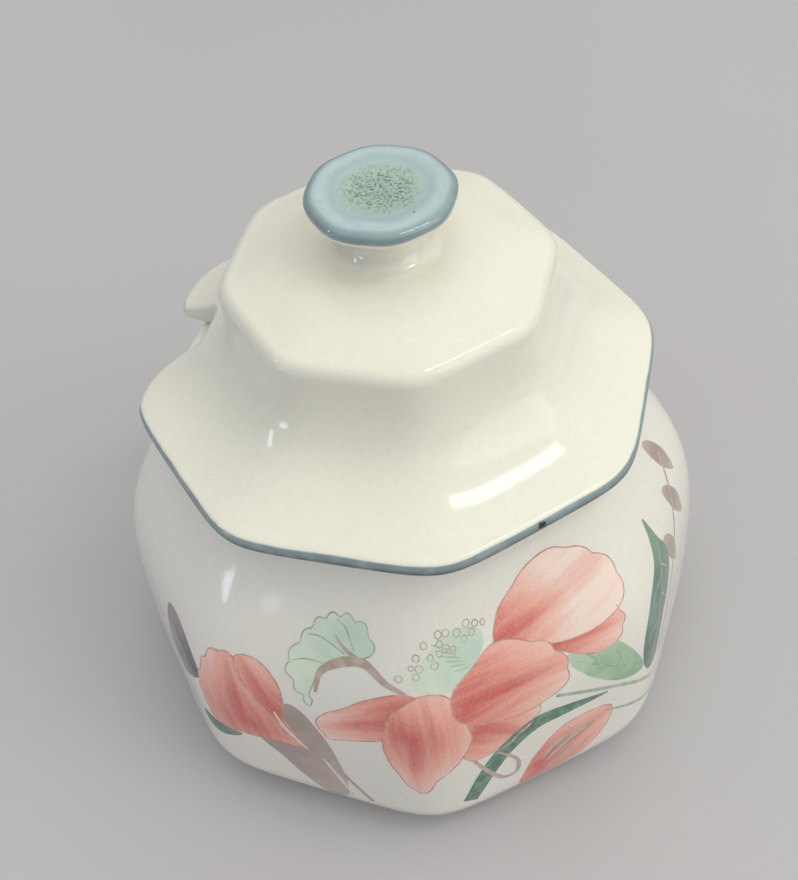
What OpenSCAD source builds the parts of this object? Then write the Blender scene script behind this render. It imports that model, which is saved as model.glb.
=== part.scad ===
// Octagonal glazed sugar bowl with a domed lid that lifts off.
// Three ceramic pieces: the bowl, the lid and the lid's knob. All sizes are in millimetres.
// The origin is at the middle of the foot, +Z is up and the lid's spoon notch is on the -X side.

/* [Bowl] */
// Width of the bowl across its flats at the belly
belly_w = 120.6; // [114:0.2:132]
// Height at which the bowl is widest
belly_z = 13; // [10:0.5:16]
// Width of the neck across its flats, just under the lid
neck_w = 92; // [91.6:0.2:95]
// Height of the bowl without its lid
bowl_h = 77.4; // [70:0.2:90]
// Fullness of the shoulder: a higher value keeps the sides upright for longer
shoulder_full = 4.2; // [3:0.1:5]
// Sweep of the shoulder into the neck: a higher value gives a longer neck
neck_sweep = 2.6; // [1.6:0.1:3]
// Thickness of the bowl's wall
bowl_wall = 4.6; // [4:0.1:6]
// Diameter of the round mouth
mouth_d = 87; // [86.6:0.1:88]
// Depth of the mouth's cylindrical land
mouth_depth = 9; // [7:0.5:12]

/* [Foot] */
// Width of the foot ring across its flats
foot_w = 100; // [90:1:104]
// Width of the foot ring's flat face
foot_ring = 4.5; // [3:0.5:8]
// Height of the recess inside the foot ring
foot_h = 1.8; // [1.2:0.1:2.4]

/* [Lid] */
// Width of the lid across the flats of its rim
lid_w = 100; // [99:0.2:104]
// Thickness of the rim
rim_t = 3.6; // [3.2:0.1:4.4]
// Radius of the rounding under the rim
rim_under = 2.4; // [1.2:0.1:2.4]
// Angle that the lid is turned on its round seat
lid_turn = 5.8; // [0:0.1:45]
// Width of the dome across its flats
dome_w = 61.2; // [56:0.2:64]
// Height of the dome's shoulder above the rim
dome_h = 27; // [23:0.2:30]
// Rise of the crown from the dome's shoulder to its middle
crown_rise = 3; // [2:0.1:5]
// Radius of the dome's shoulder
dome_r = 3; // [2.6:0.1:5]
// Sharpness of the flare from the dome's wall to the rim
flare = 4; // [3:0.1:5]
// Thickness of the dome's wall
lid_wall = 4; // [3.4:0.1:4.6]

/* [Lid seat] */
// Gap on each side between the collar and the mouth
seat_gap = 0.9; // [0.6:0.1:1.2]
// Width of the collar's ring
collar_t = 2.6; // [2.2:0.1:3]
// Depth that the collar drops into the mouth
collar_h = 5; // [4:0.5:7]
// Radius of the round opening in the lid's underside
under_r = 37.2; // [36:0.1:37.6]

/* [Spoon notch] */
// Distance from the axis to the notch's bottom
notch_r = 39.4; // [39.2:0.1:40]
// Distance from the lid's middle line to the notch's easy side, at the notch's bottom
easy_in = 5.2; // [4.6:0.1:6.4]
// The same distance at the rim
easy_out = 14; // [10:0.2:16]
// Sweep of the easy side, straighter when nearer 1
easy_sweep = 1.4; // [1:0.1:2.5]
// Distance from the lid's middle line to the notch's steep side, at the notch's bottom
steep_in = 6.6; // [5:0.1:7.4]
// The same distance at the rim
steep_out = 8.6; // [7:0.2:10]
// Sweep of the steep side, straighter when nearer 1
steep_sweep = 1.2; // [1:0.1:3]

/* [Knob] */
// Width of the knob across its flats
knob_w = 27.4; // [24:0.2:32]
// Height of the knob above the crown
knob_h = 13.4; // [12.4:0.2:16]
// Thickness of the knob's disc at its edge
disc_t = 3.6; // [3:0.2:5]
// Depth of the dish in the knob's top
dish = 0.7; // [0.3:0.1:1]
// Diameter of the knob's waist
waist_d = 14; // [13:0.2:17]
// Height of the waist above the crown
waist_z = 4; // [3.4:0.2:5]
// Diameter of the knob's base on the crown
base_d = 22; // [16:0.2:24]

/* [Facets] */
// Points around a ring of the bowl and the lid
around = 80; // [64:8:96]
// Points around a ring of the knob
knob_around = 56; // [48:8:80]

/* [Hidden] */

// Exponents of the cross-section: 2 is a circle, and a higher value is a crisper octagon.
round_p = 2;
crisp_p = 22;
flare_p = 15;
neck_p = 12;
knob_p = 11;

belly_a = belly_w / 2;
neck_a = neck_w / 2;
foot_a = foot_w / 2;
rim_a = lid_w / 2;
dome_a = dome_w / 2;
mouth_r = mouth_d / 2;
rim_z = bowl_h + rim_t;
lip_r = 1.2;
crown_pad_r = base_d / 2 + 1;
crown_z = rim_z + dome_h + crown_rise;
collar_r = mouth_r - seat_gap;
embed = 1;
reach = 20;
notch_round = 2.4;
notch_steps = 20;

// ---- Cross-sections and lofts ----

// Sum of the eight flats' pulls at angle a, for exponent p
function flat_pull(a, p) =
    let (pulls = [for (k = [0 : 7]) max(0, cos(a - 45 * k))])
    [for (v = pulls) pow(v, p)] * [for (v = pulls) 1];

// Radius at angle a of a rounded octagon whose flats are 1 from its middle
function oct_r(a, p) = pow(flat_pull(0, p) / flat_pull(a, p), 1 / p);

// One ring of n points from an outline entry [distance to the flats, height, exponent]
function ring(e, n) = [
    for (i = [0 : n - 1])
        let (a = 360 * i / n, r = e[0] * oct_r(a, e[2]))
        [r * cos(a), r * sin(a), e[1]]
];

// Closed solid through the rings of an outline that starts and ends on the axis
module loft(outline, n) {
    last = len(outline) - 1;
    mid = [for (i = [1 : last - 1]) outline[i]];
    m = len(mid);
    points = concat(
        [[0, 0, outline[0][1]]],
        [for (e = mid) each ring(e, n)],
        [[0, 0, outline[last][1]]]
    );
    sides = [
        for (j = [0 : m - 2], i = [0 : n - 1])
            let (a = 1 + j * n + i, b = 1 + j * n + (i + 1) % n)
            each [[a, a + n, b + n], [a, b + n, b]]
    ];
    first_cap = [for (i = [0 : n - 1]) [0, 1 + i, 1 + (i + 1) % n]];
    end = 1 + m * n;
    last_cap = [
        for (i = [0 : n - 1])
            [end, end - n + (i + 1) % n, end - n + i]
    ];
    polyhedron(points, concat(first_cap, sides, last_cap), convexity = 8);
}

// Outline points on an elliptical arc round c from angle a0 to a1, in n steps
function bend(c, rx, rz, a0, a1, n, p) = [
    for (i = [0 : n])
        let (a = a0 + (a1 - a0) * i / n)
        [c[0] + rx * cos(a), c[1] + rz * sin(a), p]
];

// Value between a and b at t from 0 to 1
function mix(a, b, t) = a + (b - a) * t;

// ---- Bowl ----

// Distance to the bowl's flats at height z, from the belly to the neck
function shoulder_a(z) =
    let (t = (z - belly_z) / (bowl_h - belly_z))
    mix(neck_a, belly_a, pow(1 - pow(max(0, t), shoulder_full), neck_sweep));

// Section exponent at height z on the bowl's outside, softer towards the neck
function shoulder_exp(z) =
    mix(crisp_p, neck_p, pow(max(0, (z - belly_z) / (bowl_h - belly_z)), 4));

shoulder_top = bowl_h - lip_r;
floor_z = foot_h + bowl_wall;
inner_belly_z = belly_z + bowl_wall;
inner_top = bowl_h - mouth_depth;

// Outline of the bowl, from the middle of its underside, up the outside and down the inside
bowl_outline = concat(
    [[0, foot_h, crisp_p]],
    [[foot_a - foot_ring - 1, foot_h, crisp_p]],
    [[foot_a - foot_ring, 0, crisp_p]],
    [[foot_a - 0.8, 0, crisp_p]],
    [[foot_a - 0.2, 0.5, crisp_p]],
    bend([foot_a, belly_z], belly_a - foot_a, belly_z - foot_h, -90, 0, 8, crisp_p),
    [
        for (i = [1 : 18])
            let (z = mix(belly_z, shoulder_top, i / 18))
            [shoulder_a(z), z, shoulder_exp(z)]
    ],
    bend([shoulder_a(shoulder_top) - lip_r, shoulder_top], lip_r, lip_r, 22, 90, 3, neck_p),
    [[mouth_r - 2, bowl_h, round_p]],
    [
        for (i = [0 : 10])
            let (z = mix(inner_top, inner_belly_z, i / 10))
            [shoulder_a(z) - bowl_wall, z, crisp_p]
    ],
    bend([foot_a, inner_belly_z], belly_a - bowl_wall - foot_a, inner_belly_z - floor_z,
         -12, -90, 6, crisp_p),
    [[0, floor_z, crisp_p]]
);

module bowl() {
    color("linen")
    difference() {
        loft(bowl_outline, around);
        translate([0, 0, inner_top])
            cylinder(h = bowl_h, r = mouth_r, $fn = around);
    }
}

// ---- Lid ----

// Distance to the dome's flats at height z above the rim, outside
function flare_a(z) = mix(dome_a, rim_a, pow(1 - z / dome_h, flare));

// The same inside, where the flare starts at the round opening in the underside
inner_dome_a = dome_a - lid_wall;
inner_h = dome_h - lid_wall;
function inner_flare_a(z) = mix(inner_dome_a, under_r, pow(1 - z / inner_h, flare - 1));

// Section exponent up the flare, softest halfway
function flare_exp(t) = mix(crisp_p, flare_p, sin(180 * t));

inner_dome_r = dome_r / 2;
wall_top = dome_h - dome_r;
inner_wall_top = inner_h - inner_dome_r;

// Outline of the lid about the rim's top face, down the inside and up the outside to the crown
lid_outline = concat(
    [[0, inner_h + crown_rise, round_p]],
    [[crown_pad_r, inner_h + crown_rise, round_p]],
    bend([inner_dome_a - inner_dome_r, inner_wall_top], inner_dome_r, inner_dome_r,
         80, 20, 3, crisp_p),
    [
        for (i = [0 : 7])
            let (t = i / 8, z = mix(inner_wall_top, 0, t))
            [inner_flare_a(z), z, mix(crisp_p, round_p, 1 - cos(90 * t))]
    ],
    [[under_r, 0, round_p]],
    [[under_r, -rim_t, round_p]],
    bend([rim_a - rim_under, -lip_r], rim_under, rim_t - lip_r, -90, -15, 4, crisp_p),
    bend([rim_a - lip_r, -lip_r], lip_r, lip_r, 0, 60, 3, crisp_p),
    [
        for (i = [0 : 15])
            let (t = i / 16, z = mix(1, wall_top, t))
            [flare_a(z), z, flare_exp(t)]
    ],
    bend([dome_a - dome_r, wall_top], dome_r, dome_r, 0, 75, 5, crisp_p),
    [
        for (i = [0 : 4])
            let (t = i / 5, a = mix(dome_a - dome_r, crown_pad_r, t))
            [a, dome_h + crown_rise * sin(90 * t), mix(crisp_p, round_p, sin(90 * t))]
    ],
    [[crown_pad_r, dome_h + crown_rise, round_p]],
    [[0, dome_h + crown_rise, round_p]]
);

// Round collar that drops into the mouth, with a chamfered lower edge
module collar() {
    rotate_extrude($fn = around)
        polygon([
            [collar_r - collar_t, embed - rim_t],
            [collar_r - collar_t, 0.6 - rim_t - collar_h],
            [collar_r - collar_t + 0.6, -rim_t - collar_h],
            [collar_r - 0.6, -rim_t - collar_h],
            [collar_r, 0.6 - rim_t - collar_h],
            [collar_r, embed - rim_t]
        ]);
}

// Distance from the lid's middle line to a side of the notch at distance x from the axis.
// The side goes from inner to outer, and a rounded corner joins it to the notch's bottom.
function notch_side(x, inner, outer, sweep) =
    let (
        short = max(0, notch_r + notch_round - x),
        inset = notch_round - sqrt(pow(notch_round, 2) - pow(short, 2))
    )
    mix(inner, outer, pow((x - notch_r) / (rim_a - notch_r), sweep)) - inset;

// Notch on the +X side, cut right through the flange and the collar
module spoon_notch() {
    xs = [for (i = [0 : notch_steps]) mix(notch_r, rim_a + 2, pow(i / notch_steps, 1.5))];
    easy_side = [for (x = xs) [x, notch_side(x, easy_in, easy_out, easy_sweep)]];
    steep_side = [
        for (i = [notch_steps : -1 : 0])
            [xs[i], -notch_side(xs[i], steep_in, steep_out, steep_sweep)]
    ];
    translate([0, 0, -reach])
        linear_extrude(2 * reach)
            polygon(concat(easy_side, steep_side));
}

module lid() {
    color("ivory")
    translate([0, 0, rim_z])
        rotate(lid_turn)
            difference() {
                union() {
                    loft(lid_outline, around);
                    collar();
                }
                rotate(180)
                    spoon_notch();
            }
}

// ---- Knob ----

knob_a = knob_w / 2;
waist_r = waist_d / 2;
disc_z = knob_h - disc_t;
edge_z = knob_h - 1.4;
edge_in = 2.2;
under_in = 1.4;

// Outline of the knob about the crown: a spread base, a waist and an octagonal dished disc
knob_outline = concat(
    [[0, 0, round_p]],
    [
        for (i = [0 : 5])
            let (t = i / 5)
            [mix(base_d / 2, waist_r, sin(90 * t)), mix(0, waist_z, 1 - cos(90 * t)), round_p]
    ],
    [
        for (i = [1 : 5])
            let (t = i / 6)
            [mix(waist_r, knob_a - under_in, 1 - cos(90 * t)),
             mix(waist_z, disc_z, sin(90 * t)), mix(round_p, knob_p, t * t)]
    ],
    bend([knob_a - under_in, edge_z], under_in, edge_z - disc_z, -80, 0, 5, knob_p),
    bend([knob_a - edge_in, edge_z], edge_in, knob_h - edge_z, 18, 84, 4, knob_p),
    [
        for (i = [0 : 3])
            let (t = i / 3)
            [mix(knob_a - edge_in - 1, 4, t), knob_h - dish * sin(90 * t), mix(knob_p, round_p, t)]
    ],
    [[0, knob_h - dish, round_p]]
);

module knob() {
    color("lightsteelblue")
    translate([0, 0, crown_z])
        rotate(lid_turn)
            loft(knob_outline, knob_around);
}

bowl();
lid();
knob();
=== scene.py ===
"""Looks of a glazed octagonal sugar bowl with a domed lid: white glaze, a painted rim and knob,
and sprays of coral flowers. Shapes are worked out in millimetres and made in metres."""
import math

import bpy
import numpy as np
from mathutils import Matrix, Vector
from mathutils.geometry import delaunay_2d_cdt


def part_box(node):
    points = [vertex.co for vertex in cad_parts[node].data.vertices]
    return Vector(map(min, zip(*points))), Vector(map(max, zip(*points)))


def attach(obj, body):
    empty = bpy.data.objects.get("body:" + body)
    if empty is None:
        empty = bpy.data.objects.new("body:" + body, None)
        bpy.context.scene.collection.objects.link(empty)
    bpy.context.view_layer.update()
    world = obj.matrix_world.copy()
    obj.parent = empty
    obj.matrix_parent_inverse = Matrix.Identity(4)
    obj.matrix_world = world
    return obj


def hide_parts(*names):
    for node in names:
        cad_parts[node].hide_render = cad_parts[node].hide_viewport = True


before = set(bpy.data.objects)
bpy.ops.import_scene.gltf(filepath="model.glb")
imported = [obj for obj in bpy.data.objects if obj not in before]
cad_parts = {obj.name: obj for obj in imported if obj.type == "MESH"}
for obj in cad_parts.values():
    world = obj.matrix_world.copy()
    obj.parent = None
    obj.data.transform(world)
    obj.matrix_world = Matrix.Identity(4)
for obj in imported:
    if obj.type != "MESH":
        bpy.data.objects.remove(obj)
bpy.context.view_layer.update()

MM = 0.001

# ---- Sizes, in millimetres, from model.glb where it holds them ----
# An _A is a distance from the axis to the flats and an _R a radius. BEND_Z is a height over the rim's
# top face, WAIST_Z, DISC_Z and EDGE_Z are over the crown, and the other heights are over the table.

BOWL_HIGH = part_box("bowl")[1] / MM
LID_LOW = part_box("lid")[0] / MM
KNOB_LOW, KNOB_HIGH = (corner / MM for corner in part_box("knob"))

BELLY_A = BOWL_HIGH.x
BELLY_Z = 13
NECK_A = 46
BOWL_H = BOWL_HIGH.z
SHOULDER_FULL = 4.2
NECK_SWEEP = 2.6
BOWL_WALL = 4.6
MOUTH_R = 43.5
MOUTH_DEPTH = 9
FOOT_A = 50
FOOT_RING = 4.5
FOOT_H = 1.8
RIPPLE = 0.1

RIM_A = 50
RIM_T = 3.6
RIM_Z = BOWL_H + RIM_T
LIP = 1.2
LOWER_ROUND = 2.4
LID_TURN = math.radians(5.8)
DOME_A = 30.6
DOME_H = 27
CROWN_Z = KNOB_LOW.z
CROWN_RISE = CROWN_Z - RIM_Z - DOME_H
DOME_R = 3
FLARE = 4
LID_WALL = 4
UNDER_R = 37.2
UNDER_ROUND = 0.6
OPENING_R = UNDER_R + UNDER_ROUND
BEND_Z = 8.0
COLLAR_R = 42.6
COLLAR_T = 2.6
COLLAR_LOW = LID_LOW.z
COLLAR_START, COLLAR_STOP = 11, 9.5

# The collar is open from COLLAR_STOP degrees before -X to COLLAR_START degrees past it.
# Spoon notch: each side is (distance from the lid's middle line at the bottom, at the rim, sweep)
NOTCH_R = 39.4
EASY_SIDE = (5.2, 14, 1.4)
STEEP_SIDE = (6.6, 8.6, 1.2)
NOTCH_ROUND = 2.4
NOTCH_STEP = 0.45
# How far the bearings of points round the lid are drawn towards even spacing
EVENNESS = 0.06

KNOB_A = 13.7
KNOB_H = KNOB_HIGH.z - CROWN_Z
DISC_Z = KNOB_H - 3.6
EDGE_Z = KNOB_H - 1.4
DISH = 0.7
WAIST_R = 7
WAIST_Z = 4
BASE_R = 11

# Exponents of the cross-section: 2 is a circle, and a higher value is a crisper octagon
ROUND = 2
CRISP = 22
FLARE_SOFT = 15
NECK_SOFT = 12
KNOB_P = 11


# ---- Curves and cross-sections ----

def mix(a, b, t):
    return a + (b - a) * t


def flat_pull(angle, p):
    """Sum of the eight flats' pulls at an angle, for exponent p."""
    return sum(np.maximum(0, np.cos(angle - k * math.pi / 4)) ** p for k in range(8))


def oct_r(angle, p):
    """Radius of a rounded octagon whose flats are 1 from its middle."""
    return (flat_pull(0, p) / flat_pull(angle, p)) ** (1 / p)


def arc(a, z, ra, rz, start, end, n):
    """Points (distance to the flats, height) on an elliptical arc."""
    t = np.radians(np.linspace(start, end, n))
    return np.stack([a + ra * np.cos(t), z + rz * np.sin(t)], 1)


def straight(start, end, n):
    """n points from start up to, but not including, end."""
    t = np.linspace(0, 1, n, endpoint=False)[:, None]
    return mix(np.array(start, float), np.array(end, float), t)


def plan_at(angle, r):
    """Points (x, y) at an angle, or at angles, and a distance from the axis."""
    return np.stack([r * np.cos(angle), r * np.sin(angle)], -1)


def raised(plan, z):
    """The points of a plan at one height, or each at its own."""
    return np.column_stack([plan, np.broadcast_to(z, len(plan))])


def turned(points, angle):
    """Points turned about the Z axis."""
    c, s = math.cos(angle), math.sin(angle)
    x, y = points[..., 0], points[..., 1]
    return np.stack([c * x - s * y, s * x + c * y, points[..., 2]], -1)


def ripple(angle, z, height=RIPPLE):
    """Slight unevenness of hand-finished glaze, in millimetres."""
    slow = np.sin(3 * angle + 0.05 * z) + np.sin(5 * angle - 0.09 * z + 1)
    fast = np.sin(11 * angle + 0.13 * z + 2)
    return height * (0.4 * slow + 0.2 * fast)


# ---- Meshes ----

def linked(name, data):
    """A new object of the scene that holds the data."""
    thing = bpy.data.objects.new(name, data)
    bpy.context.scene.collection.objects.link(thing)
    return thing


def new_piece(name, points, faces, material, attributes={}, sharp=()):
    """A smooth-shaded object from points in millimetres, with per-point attributes."""
    mesh = bpy.data.meshes.new(name)
    mesh.from_pydata((np.asarray(points, float) * MM).tolist(), [], faces)
    for key, values in attributes.items():
        layer = mesh.attributes.new(key, "FLOAT", "POINT")
        layer.data.foreach_set("value", np.asarray(values, np.float32))
    mesh.polygons.foreach_set("use_smooth", [True] * len(mesh.polygons))
    if len(sharp):
        sharp_pairs = {tuple(sorted(pair)) for pair in sharp}
        for edge in mesh.edges:
            edge.use_edge_sharp = tuple(sorted(edge.vertices)) in sharp_pairs
    mesh.validate()
    mesh.materials.append(material)
    return linked(name, mesh)


def loft_piece(name, rings, material, attributes):
    """A closed surface through rings of shape (m, n, 3), each end drawn to a point in its middle.

    attributes maps a name to values of shape (m, n)."""
    m, n, _ = rings.shape
    start = rings[0].mean(0)
    end = rings[-1].mean(0)
    points = np.concatenate([[start], rings.reshape(-1, 3), [end]])
    faces = [(0, 1 + (i + 1) % n, 1 + i) for i in range(n)]
    for j in range(m - 1):
        a = 1 + j * n
        faces += [(a + i, a + (i + 1) % n, a + n + (i + 1) % n, a + n + i) for i in range(n)]
    last = 1 + (m - 1) * n
    faces += [(last + n, last + i, last + (i + 1) % n) for i in range(n)]
    point_values = {
        key: np.concatenate([[v[0].mean()], v.reshape(-1), [v[-1].mean()]])
        for key, v in attributes.items()
    }
    return new_piece(name, points, faces, material, point_values)


# ---- Materials ----

def linear(r, g, b):
    """Scene-linear colour from the usual 0-255 values."""
    def channel(v):
        v /= 255
        return v / 12.92 if v <= 0.04045 else ((v + 0.055) / 1.055) ** 2.4
    return (channel(r), channel(g), channel(b), 1)


class Nodes:
    """Short ways to add and join shader nodes in one material."""

    def __init__(self, name, roughness, coat=0.0):
        self.material = bpy.data.materials.new(name)
        self.material.use_nodes = True
        self.tree = self.material.node_tree
        self.shader = self.tree.nodes["Principled BSDF"]
        settings = {"Roughness": roughness, "IOR": 1.5, "Coat Weight": coat, "Coat Roughness": 0.04}
        for key, value in settings.items():
            self.shader.inputs[key].default_value = value

    def add(self, kind, **inputs):
        """A new node with values or sockets for its inputs, whose names take _ for a space."""
        node = self.tree.nodes.new(kind)
        for key, value in inputs.items():
            self.feed(node.inputs[key.replace("_", " ")], value)
        return node

    def feed(self, socket, value):
        if isinstance(value, bpy.types.NodeSocket):
            self.tree.links.new(value, socket)
        else:
            socket.default_value = value

    def place(self):
        return self.add("ShaderNodeTexCoord").outputs["Object"]

    def value(self, name):
        node = self.add("ShaderNodeAttribute")
        node.attribute_name = name
        return node.outputs["Fac"]

    def noise(self, scale, detail=3.0, vector=None, roughness=0.5):
        node = self.add("ShaderNodeTexNoise", Scale=scale, Detail=detail, Roughness=roughness,
                        Vector=vector or self.place())
        return node.outputs["Fac"]

    def maths(self, operation, a, b=0.0):
        node = self.add("ShaderNodeMath")
        node.operation = operation
        self.feed(node.inputs[0], a)
        self.feed(node.inputs[1], b)
        return node.outputs[0]

    def span(self, value, low, high, to_low=0.0, to_high=1.0):
        """value from low to high, carried to another range and held at its ends."""
        return self.add("ShaderNodeMapRange", Value=value, From_Min=low, From_Max=high, To_Min=to_low,
                        To_Max=to_high).outputs["Result"]

    def shaken(self, value, scale, detail, low, high, amount):
        """value moved up or down by at most amount, with noise that is taken from low to high."""
        return self.maths("ADD", value, self.span(self.noise(scale, detail), low, high, -amount, amount))

    def blend(self, factor, a, b, kind="MIX"):
        node = self.add("ShaderNodeMix")
        node.data_type = "RGBA"
        node.blend_type = kind
        for index, value in ((0, factor), (6, a), (7, b)):
            self.feed(node.inputs[index], value)
        return node.outputs[2]

    def ramp(self, value, stops):
        """Colours along a value: a list of (place, red, green, blue), the colour as in linear()."""
        node = self.add("ShaderNodeValToRGB", Fac=value)
        points = node.color_ramp.elements
        while len(points) < len(stops):
            points.new(0.5)
        for point, (place, *colour) in zip(points, stops):
            point.position = place
            point.color = linear(*colour)
        return node.outputs["Color"]

    def finish(self, colour, bump=(), rough=None):
        """Joins the colour, a list of (height, metres) bumps and a roughness to the shader."""
        self.feed(self.shader.inputs["Base Color"], colour)
        if rough is not None:
            self.feed(self.shader.inputs["Roughness"], rough)
        normal = self.shader.inputs["Normal"]
        for height, depth in reversed(bump):
            node = self.add("ShaderNodeBump", Distance=depth, Height=height)
            self.feed(normal, node.outputs["Normal"])
            normal = node.inputs["Normal"]
        return self.material


CREAM = linear(238, 237, 220)
CREAM_COOL = linear(234, 234, 220)
PORCELAIN = linear(237, 235, 223)
PORCELAIN_COOL = linear(233, 232, 223)
BISQUE = linear(206, 194, 174)
RIM_BLUE = (132, 150, 152)
# The darkest band colour is painted shade on the rounded edge under the rim.
RIM_SHADED_BLUE = (80, 98, 102)
RIM_PALE = (184, 198, 196)
SPECK = linear(40, 44, 46)
RIM_SPECK = (38.8, -31.6, RIM_Z - 0.9)
KNOB_SPECK = (8.2, -5.2, KNOB_HIGH.z - 0.4)


def glaze_base(n, warm=CREAM, cool=CREAM_COOL):
    """Pale glaze with slow shifts of tone and faint fine mottling."""
    tone = n.blend(n.span(n.noise(28, 2), 0.35, 0.7), warm, cool)
    grain = n.span(n.noise(900, 2), 0.3, 0.7, 0.96, 1.0)
    grey = n.add("ShaderNodeCombineColor", Red=grain, Green=grain, Blue=grain).outputs[0]
    return n.blend(1.0, tone, grey, "MULTIPLY")


def glaze_bump(n):
    """Long waves of the poured glaze and a trace of orange peel."""
    return [(n.noise(45, 1), 0.00018), (n.noise(420, 2), 0.000012)]


def glaze_rough(n):
    return n.span(n.noise(70, 3), 0.3, 0.75, 0.07, 0.12)


def glazed(n, colour):
    return n.finish(colour, glaze_bump(n), glaze_rough(n))


def bowl_material():
    n = Nodes("bowl_glaze", 0.09)
    bare = n.value("bare")
    grit = n.noise(2600, 3)
    bisque = n.blend(n.span(grit, 0.35, 0.65), BISQUE, linear(224, 214, 196))
    colour = n.blend(bare, glaze_base(n, PORCELAIN, PORCELAIN_COOL), bisque)
    rough = n.blend(bare, glaze_rough(n), (0.75, 0.75, 0.75, 1))
    bump = glaze_bump(n) + [(n.maths("MULTIPLY", grit, bare), 0.00006)]
    return n.finish(colour, bump, rough)


def with_speck(n, colour, place, radius):
    """The colour with one dark iron speck at a place (x, y, z) in mm."""
    away = n.add("ShaderNodeVectorMath")
    away.operation = "DISTANCE"
    n.feed(away.inputs[0], n.place())
    away.inputs[1].default_value = Vector(place) * MM
    uneven = n.shaken(away.outputs["Value"], 900, 2, 0.3, 0.7, 0.0002)
    return n.blend(n.span(uneven, radius * MM, 0.55 * radius * MM), colour, SPECK)


def lid_material(speck):
    """Cream glaze with a brushed blue-grey band round the rim and one iron speck in it. The band darkens on
    the rounded edge under the rim as painted shade.
    """
    n = Nodes("lid_glaze", 0.09)
    band = n.shaken(n.value("band"), 120, 3, 0.3, 0.7, 0.16)
    # The band is real blue-grey paint; its darkest stops, on the rounded edge under the rim, are painted
    # shade.
    shade = n.ramp(n.span(band, -2.6, 0.5), [
        (0.0, *RIM_SHADED_BLUE), (0.3, *RIM_SHADED_BLUE), (0.55, *RIM_BLUE), (0.85, *RIM_BLUE), (1.0, *RIM_PALE)])
    streak = n.noise(300, 4)
    shade = n.blend(n.span(streak, 0.45, 0.75, 0, 0.35), shade, linear(*RIM_PALE))
    inside = n.maths("MULTIPLY", n.span(band, -3.0, -2.7), n.span(band, 0.5, 0.2))
    inside = n.maths("MULTIPLY", inside, n.value("paint"))
    colour = n.blend(inside, glaze_base(n), shade)
    colour = with_speck(n, colour, speck, 1.1)
    bare = n.value("bare")
    colour = n.blend(bare, colour, BISQUE)
    rough = n.blend(bare, glaze_rough(n), (0.7, 0.7, 0.7, 1))
    return n.finish(colour, glaze_bump(n), rough)


def knob_material(speck):
    """Pale blue-green dished top with a speckled green middle, a greyer edge and a white stem. The edge has
    a painted highlight along its top and painted shade down its side, and a painted shaded ring lies in the
    dish.
    """
    n = Nodes("knob_glaze", 0.09, coat=0.6)
    run = n.value("run")
    wavy_run = n.shaken(run, 160, 4, 0.25, 0.75, 0.7)
    mottle = n.noise(420, 5, roughness=0.65)
    # The darker stop halfway is a painted shaded ring for a groove about 8 mm from the dish's middle; the
    # dish's own shape has no groove there.
    ring = n.ramp(n.span(wavy_run, 5, 13), [
        (0.0, 162, 182, 174), (0.3, 174, 194, 192), (0.5, 164, 184, 186), (0.72, 184, 204, 206),
        (0.88, 176, 198, 198), (1.0, 146, 168, 168)])
    ring = n.blend(n.span(mottle, 0.4, 0.75, 0, 0.5), ring, linear(160, 184, 180))
    dots = n.noise(1900, 2, roughness=0.6)
    moss = n.ramp(dots, [
        (0.34, 62, 84, 78), (0.42, 122, 144, 132), (0.52, 154, 178, 164), (0.7, 174, 196, 184)])
    soft_moss = n.ramp(dots, [(0.38, 128, 152, 138), (0.5, 162, 184, 166), (0.7, 180, 200, 184)])
    patch_edge = n.shaken(run, 350, 4, 0.25, 0.75, 1.4)
    moss = n.blend(n.span(patch_edge, 5.6, 3.4), soft_moss, moss)
    top = n.blend(n.span(patch_edge, 8.2, 5.6), ring, moss)
    # The edge is partly paler where the glaze breaks thin and partly painted light: a painted highlight
    # along its top, and painted shade that darkens it down the side.
    edge = n.ramp(n.span(run, 11.6, 16.6), [
        (0.0, 166, 192, 190), (0.25, 134, 158, 160), (0.7, 120, 142, 148), (1.0, 104, 126, 134)])
    edge = n.blend(n.span(mottle, 0.35, 0.7, 0, 0.5), edge, linear(150, 172, 170))
    colour = n.blend(n.span(run, 11.8, 12.8), top, edge)
    paint_end = n.shaken(run, 200, 2, 0.3, 0.7, 0.15)
    colour = n.blend(n.span(paint_end, 15.0, 15.5), with_speck(n, colour, speck, 0.5), glaze_base(n))
    return n.finish(colour, glaze_bump(n) + [(dots, 0.00001)], glaze_rough(n))


def petal_material(name, deep, mid, pale):
    """Printed petal: deepest at its heart and down its middle, paler outwards, streaked and stippled."""
    n = Nodes(f"{name}_print", 0.09)
    across, along = n.value("across"), n.value("along")
    vector = n.add("ShaderNodeCombineXYZ", X=across, Y=n.maths("MULTIPLY", along, 0.12))
    streak = n.noise(0.55, 4, vector=vector.outputs[0])
    tone = n.maths("ADD", n.value("tone"), n.span(streak, 0.3, 0.7, -0.13, 0.13))
    tone = n.shaken(tone, 2200, 2, 0.3, 0.7, 0.07)
    fold = n.span(n.maths("ABSOLUTE", across), 0.3, 3.2, -0.3, 0.0)
    fold = n.maths("MULTIPLY", fold, n.span(along, 2, 9))
    tone = n.maths("ADD", tone, fold)
    return glazed(n, n.ramp(tone, [(0.0, *deep), (0.45, *mid), (1.0, *pale)]))


def leaf_material(name, dark, light):
    """Printed leaf: darker near its heart, with soft blotches and a fine stipple."""
    n = Nodes(f"{name}_print", 0.09)
    tone = n.shaken(n.value("tone"), 160, 3, 0.3, 0.7, 0.25)
    tone = n.shaken(tone, 2200, 2, 0.3, 0.7, 0.1)
    return glazed(n, n.ramp(tone, [(0.1, *dark), (0.8, *light)]))


def line_material(name, dark, light):
    """Brushed line, paler in places."""
    n = Nodes(f"{name}_print", 0.1)
    return glazed(n, n.blend(n.span(n.noise(500, 3), 0.4, 0.65), linear(*dark), linear(*light)))


# ---- Bowl ----

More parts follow.
